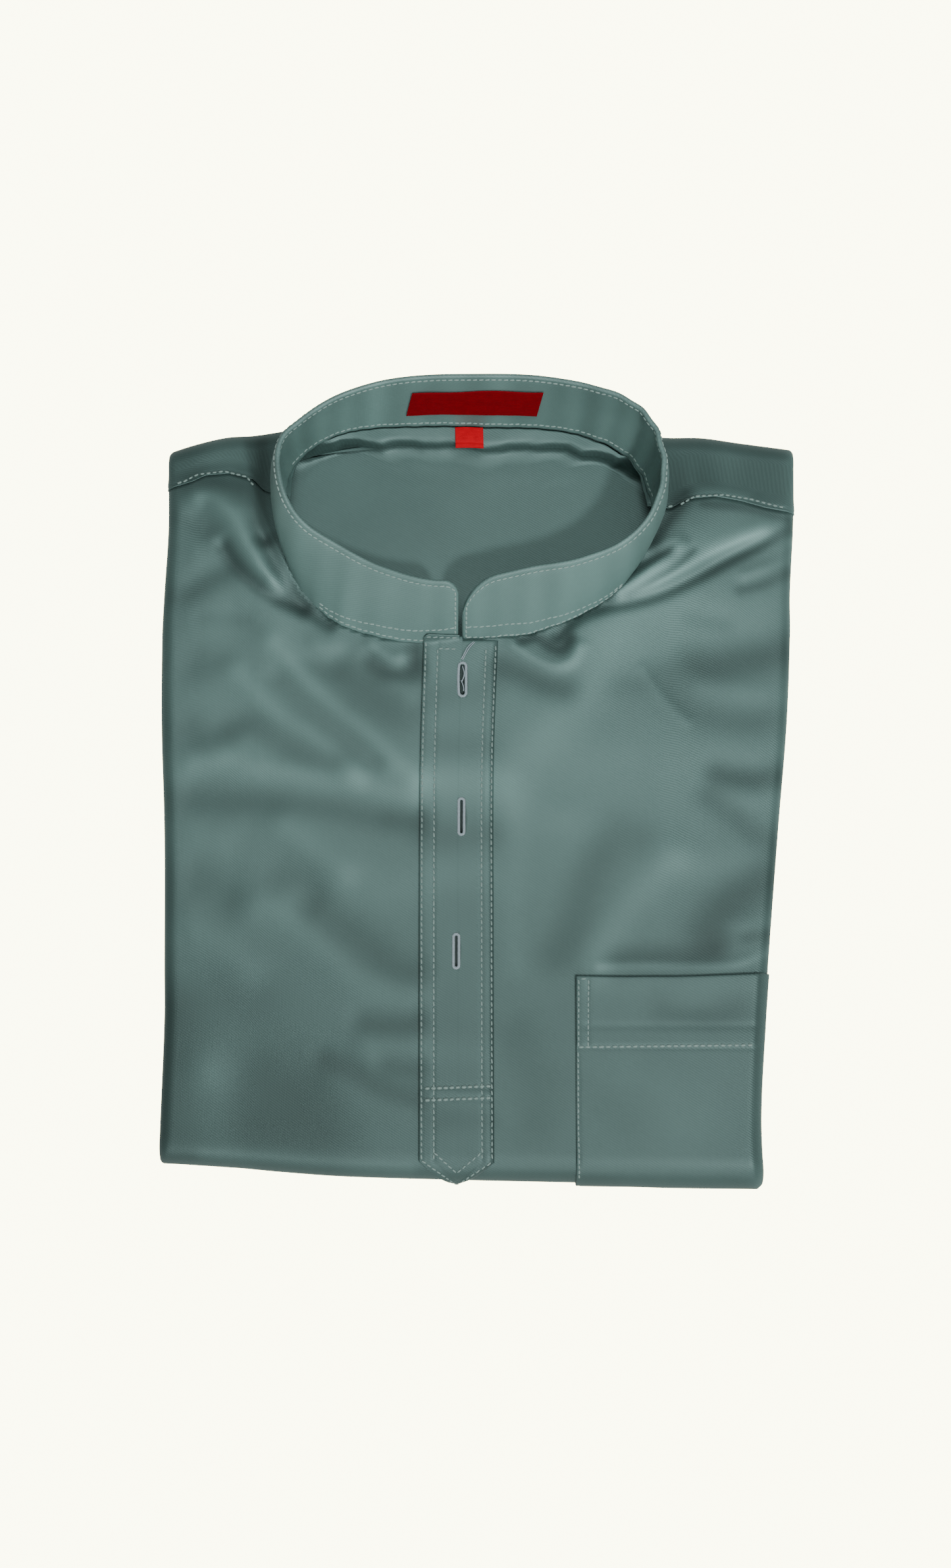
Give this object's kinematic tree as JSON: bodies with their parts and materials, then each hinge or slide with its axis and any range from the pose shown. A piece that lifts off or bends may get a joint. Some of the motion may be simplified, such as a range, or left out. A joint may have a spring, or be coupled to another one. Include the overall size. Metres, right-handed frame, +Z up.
{
  "type": "folded baju melayu shirt",
  "caption": "Collared pullover shirt folded into a flat packet, with a stand-up band collar, a pointed front placket and a patch pocket.",
  "frame": {"origin": "under the middle of the packet, on the surface that it lies on", "axes": "+Z up from the surface, +Y from the bottom fold to the collar, +X to the side with the pocket"},
  "size_m": [0.2837, 0.3526, 0.0625],
  "materials": {
    "shirt_cloth": "sage green satin twill with a soft broad sheen",
    "collar_cloth": "the same satin twill, fused and topstitched",
    "neck_label": "dark red woven label, bare",
    "small_label": "bright red woven label, bare"
  },
  "bodies": {
    "root": {"front_body": "shirt_cloth", "yoke": "shirt_cloth", "back_body": "shirt_cloth", "collar_band": "collar_cloth", "placket": "shirt_cloth", "placket_under": "shirt_cloth", "pocket": "shirt_cloth", "main_label": "neck_label", "size_label": "small_label", "folded_layers": "shirt_cloth"}
  },
  "joints": []
}
